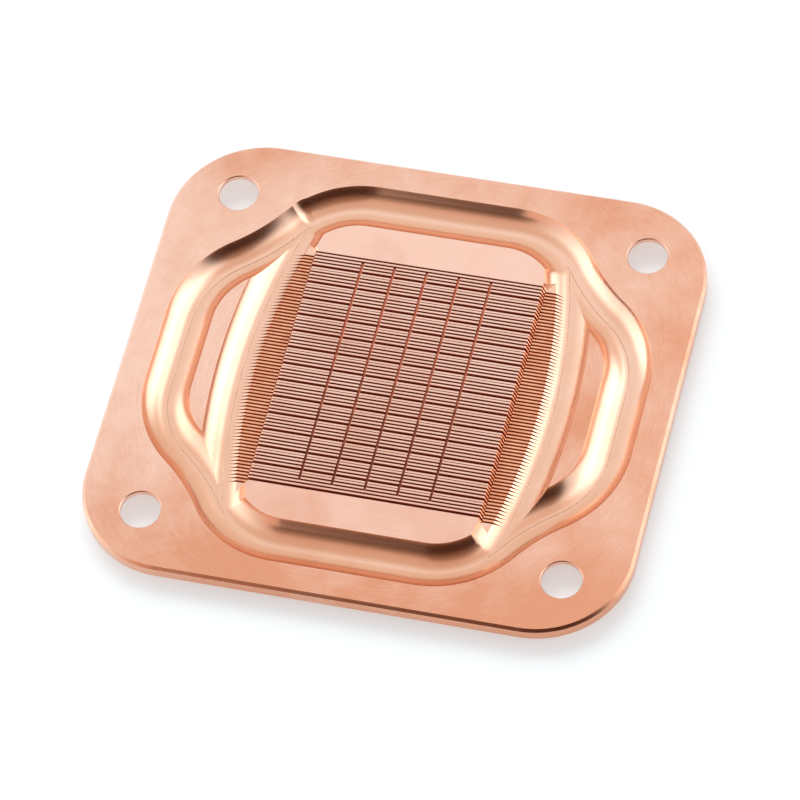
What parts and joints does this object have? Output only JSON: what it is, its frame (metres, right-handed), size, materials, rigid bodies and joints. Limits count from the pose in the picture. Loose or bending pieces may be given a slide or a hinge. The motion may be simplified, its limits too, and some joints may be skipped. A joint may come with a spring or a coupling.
{
  "type": "processor water block base plate",
  "caption": "Copper base plate of a processor water block: thin flange with corner screw holes, ball-milled channels and a finned middle.",
  "frame": {"origin": "middle of the flat underside of the contact pad", "axes": "+Z from the contact pad to the finned side, +X along the fins and the flange's longer side, +Y along its shorter side"},
  "size_m": [0.06, 0.0544, 0.003],
  "materials": {
    "copper": "milled and lightly brushed bare copper, faint handling stains"
  },
  "bodies": {
    "root": {"cold_plate": "copper"}
  },
  "joints": []
}
